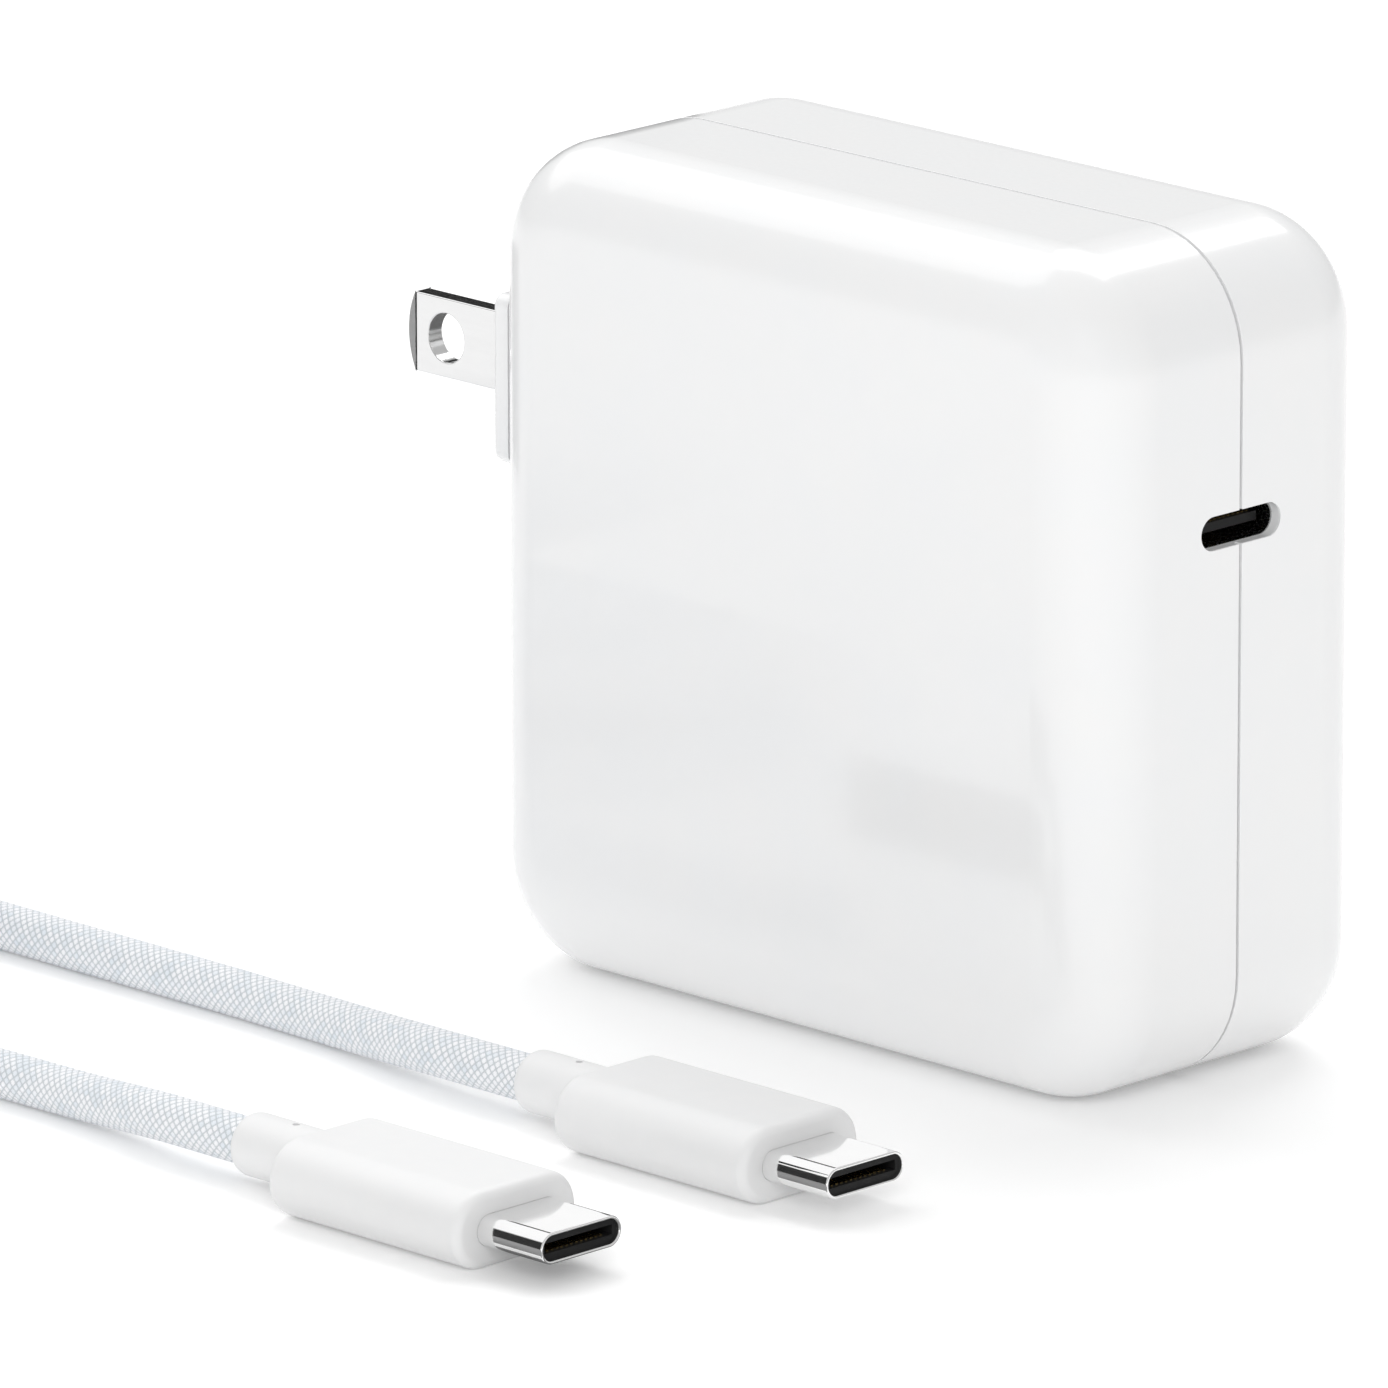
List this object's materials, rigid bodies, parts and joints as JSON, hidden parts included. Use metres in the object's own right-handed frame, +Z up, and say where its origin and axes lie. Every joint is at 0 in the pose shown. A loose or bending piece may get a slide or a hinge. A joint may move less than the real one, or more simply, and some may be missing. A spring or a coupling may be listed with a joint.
{
  "type": "laptop power adapter",
  "caption": "Compact white USB-C wall adapter for a laptop: rounded square body, fold-down flat prongs on one side, outlet on the other, and a braided cable with a plug at each end.",
  "frame": {"origin": "on the surface that the body stands on, below the middle of the body", "axes": "+X out of the outlet side, -X out along the prongs, -Y out of the front face, +Z up along the standing body"},
  "size_m": [0.152, 0.1144, 0.066],
  "materials": {
    "white_gloss": "polished glossy white polycarbonate",
    "white_satin": "satin moulded white elastomer",
    "inner_plastic": "moulded white engineering plastic",
    "blade_metal": "nickel-plated brass, polished",
    "plug_metal": "bright nickel-plated steel",
    "socket_metal": "stamped stainless steel, dull",
    "black_plastic": "black moulded plastic",
    "gold_contact": "gold-plated contact strip",
    "spring_bronze": "rolled phosphor bronze",
    "spring_steel": "rolled spring steel",
    "board": "green solder mask on glass epoxy",
    "ferrite": "dark grey sintered ferrite",
    "bobbin_plastic": "black phenolic",
    "winding_tape": "yellow polyester tape over wire",
    "choke_wire": "enamelled copper wire",
    "capacitor_sleeve": "dark blue shrink sleeve on an aluminium can",
    "polymer_can": "bare aluminium can",
    "film_case": "cast yellow box",
    "disc_coating": "blue epoxy dip",
    "fuse_case": "brown moulded box",
    "chip_epoxy": "black moulding compound",
    "heat_aluminium": "sheared aluminium sheet",
    "copper_sheet": "thin copper sheet",
    "pad_gel": "soft pale blue gap filler",
    "insulation": "thin translucent polyester film",
    "lead_black": "black wire insulation",
    "lead_white": "white wire insulation",
    "braid": "woven braid, white with pale blue-grey yarns",
    "strap": "white hook-and-loop strap"
  },
  "bodies": {
    "adapter": {"front_shell": "white_gloss", "rear_shell": "white_gloss", "plug_module": "white_gloss", "front_contact_spring": "spring_bronze", "rear_contact_spring": "spring_bronze", "detent_spring": "spring_steel", "front_lead": "lead_black", "rear_lead": "lead_white", "main_board": "board", "output_board": "board", "socket_shell": "socket_metal", "socket_tongue": "black_plastic", "socket_contacts": "gold_contact", "transformer_core_front": "ferrite", "transformer_core_rear": "ferrite", "transformer_bobbin": "bobbin_plastic", "transformer_winding": "winding_tape", "bulk_capacitor_left": "capacitor_sleeve", "bulk_capacitor_right": "capacitor_sleeve", "output_capacitor_left": "polymer_can", "output_capacitor_right": "polymer_can", "line_filter_capacitor": "film_case", "safety_capacitor": "disc_coating", "choke_core": "ferrite", "choke_winding_lower": "choke_wire", "choke_winding_upper": "choke_wire", "input_fuse": "fuse_case", "bridge_rectifier": "chip_epoxy", "heat_sink": "heat_aluminium", "switch_transistor": "chip_epoxy", "primary_controller": "chip_epoxy", "output_controller": "chip_epoxy", "sync_rectifier": "chip_epoxy", "heat_spreader": "copper_sheet", "thermal_pad": "pad_gel", "insulating_sheet": "insulation", "plug_a_grip": "white_satin", "plug_a_collar": "white_satin", "plug_a_shell": "plug_metal", "plug_a_insert": "black_plastic", "plug_a_contacts": "gold_contact", "plug_b_grip": "white_satin", "plug_b_collar": "white_satin", "plug_b_shell": "plug_metal", "plug_b_insert": "black_plastic", "plug_b_contacts": "gold_contact", "cord_run_a": "braid", "cord_run_b": "braid", "cord_coil": "braid", "cord_tie": "strap"},
    "prongs": {"prong_carrier": "inner_plastic", "front_blade": "blade_metal", "rear_blade": "blade_metal"}
  },
  "joints": [
    {"name": "prong_fold", "type": "hinge", "parent": "adapter", "child": "prongs", "pos_m": [-0.0298, 0, 0.0462], "axis": [0, -1, 0], "range_deg": [0, 90]}
  ]
}
